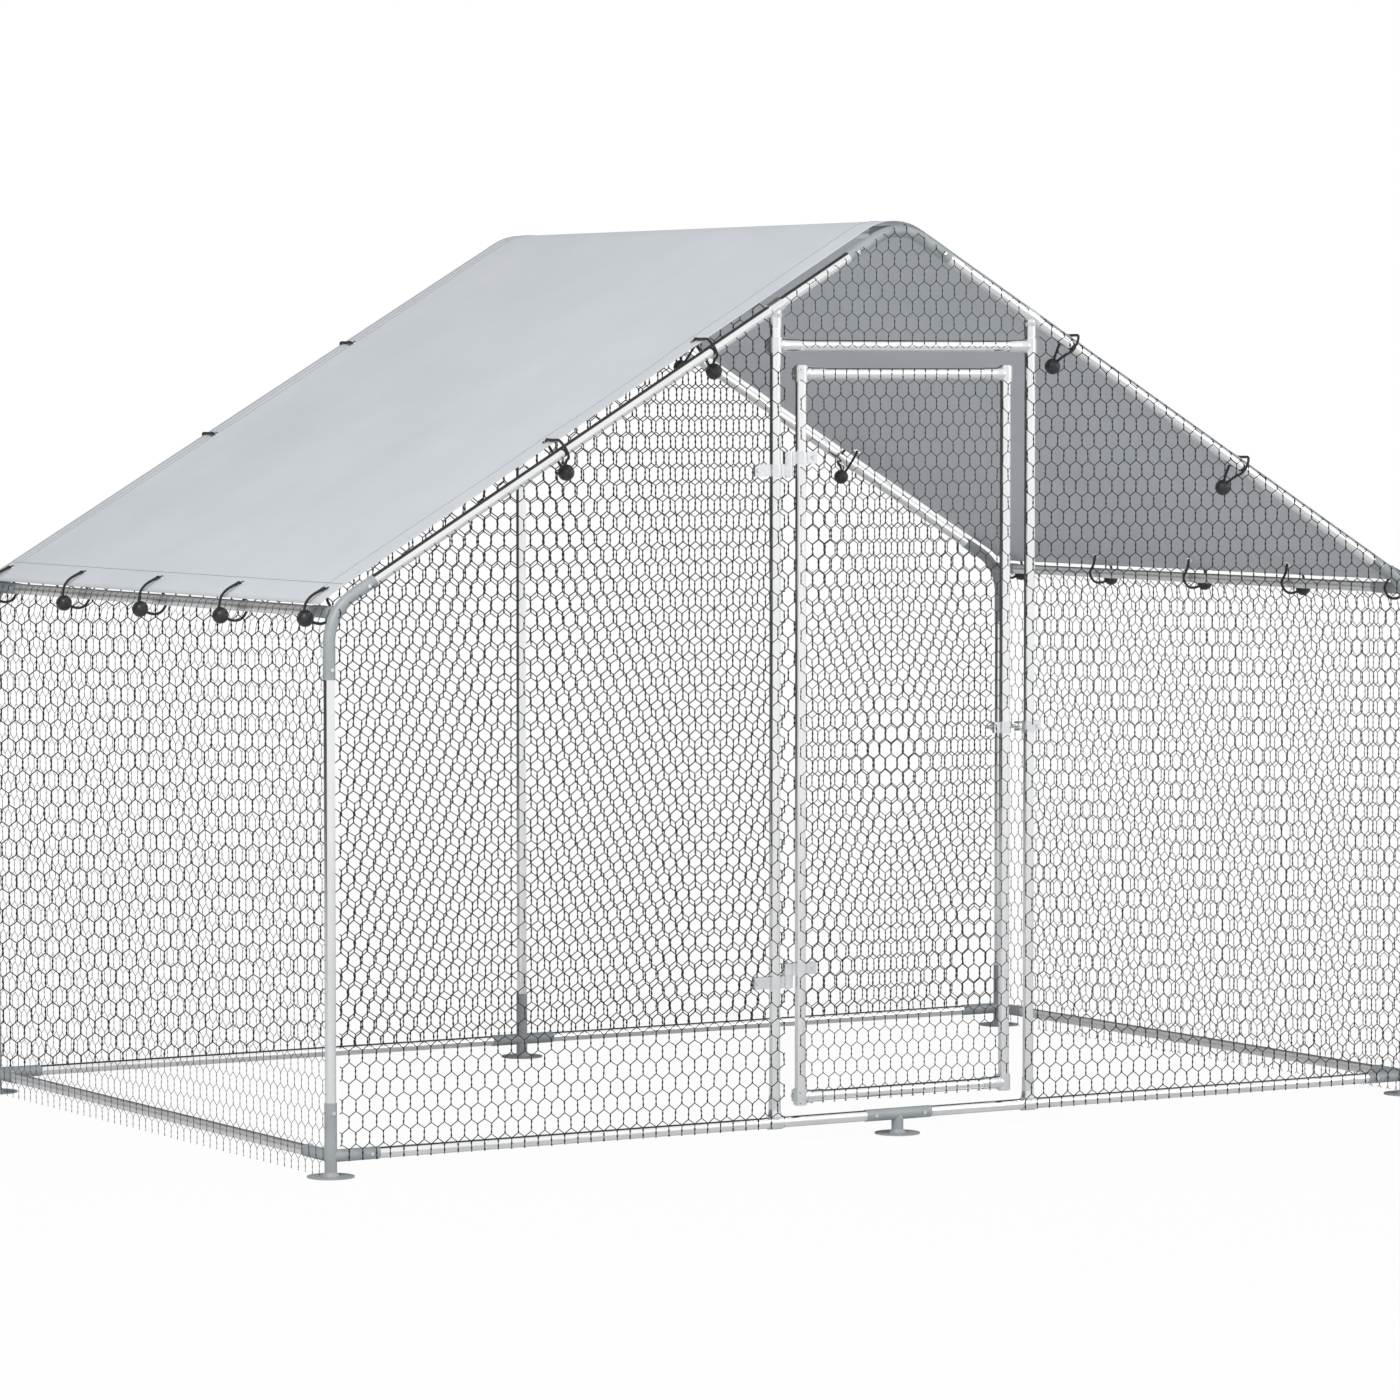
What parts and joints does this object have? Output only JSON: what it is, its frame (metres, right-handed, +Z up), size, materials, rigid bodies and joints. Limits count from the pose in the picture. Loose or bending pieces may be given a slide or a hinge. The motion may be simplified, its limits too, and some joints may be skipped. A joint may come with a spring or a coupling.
{
  "type": "chicken run",
  "caption": "Walk-in poultry run: gabled steel tube frame, hexagonal wire netting walls, hinged netted door with a sliding bolt, and a sheet roof tied down by elastic cords.",
  "frame": {"origin": "middle of the footprint, on the ground plane under the foot plates", "axes": "+X along the width to the right as seen from the front, +Y to the rear with the door in the -Y wall, +Z up"},
  "size_m": [3.076, 1.916, 2.1276],
  "materials": {
    "tube": "bright galvanised",
    "fitting": "matte grey coat",
    "zinc": "bright zinc",
    "netting": "dull galvanised wire",
    "cover": "smooth coated sheet",
    "cord": "woven sleeve",
    "ball": "satin"
  },
  "bodies": {
    "frame": {"ridge_beam": "tube", "ridge_elbow_front": "fitting", "ridge_elbow_rear": "fitting", "rafter_front_left": "tube", "rafter_front_right": "tube", "rafter_rear_left": "tube", "rafter_rear_right": "tube", "eave_elbow_front_left": "fitting", "eave_elbow_front_right": "fitting", "eave_elbow_rear_left": "fitting", "eave_elbow_rear_right": "fitting", "eave_beam_left": "tube", "eave_beam_right": "tube", "corner_post_front_left": "tube", "corner_post_front_right": "tube", "corner_post_rear_left": "tube", "corner_post_rear_right": "tube", "corner_foot_front_left": "fitting", "corner_foot_front_right": "fitting", "corner_foot_rear_left": "fitting", "corner_foot_rear_right": "fitting", "base_rail_left": "tube", "base_rail_right": "tube", "base_rail_front_left": "tube", "base_rail_front_right": "tube", "base_rail_rear_left": "tube", "base_rail_rear_right": "tube", "middle_foot_front": "fitting", "middle_foot_rear": "fitting", "rear_middle_post": "tube", "door_post_left": "tube", "door_post_right": "tube", "door_header": "tube", "door_post_tees": "zinc", "rafter_clamps": "zinc", "frame_screws": "zinc", "clamp_bolts": "zinc", "mesh_left_wall": "netting", "mesh_right_wall": "netting", "mesh_rear_wall": "netting", "mesh_front_left": "netting", "mesh_front_right": "netting", "mesh_front_gable": "netting", "roof_cover": "cover", "cover_eyelets": "zinc", "tie_cords": "cord", "tie_balls": "ball", "hinge_post_straps": "zinc", "hinge_pins": "zinc", "latch_keeper": "zinc"},
    "door": {"door_hinge_stile": "tube", "door_latch_stile": "tube", "door_top_rail": "tube", "door_bottom_rail": "tube", "door_corner_clamps": "zinc", "door_bolts": "zinc", "door_mesh": "netting", "hinge_door_straps": "zinc", "latch_barrel": "zinc"},
    "latch": {"latch_bolt": "zinc"}
  },
  "joints": [
    {"name": "door_swing", "type": "hinge", "parent": "frame", "child": "door", "pos_m": [-0.3015, -0.905, 1], "axis": [0, 0, -1], "range_deg": [0, 105]},
    {"name": "latch_slide", "type": "slide", "parent": "door", "child": "latch", "axis": [1, 0, 0], "range_m": [0, 0.016]}
  ]
}
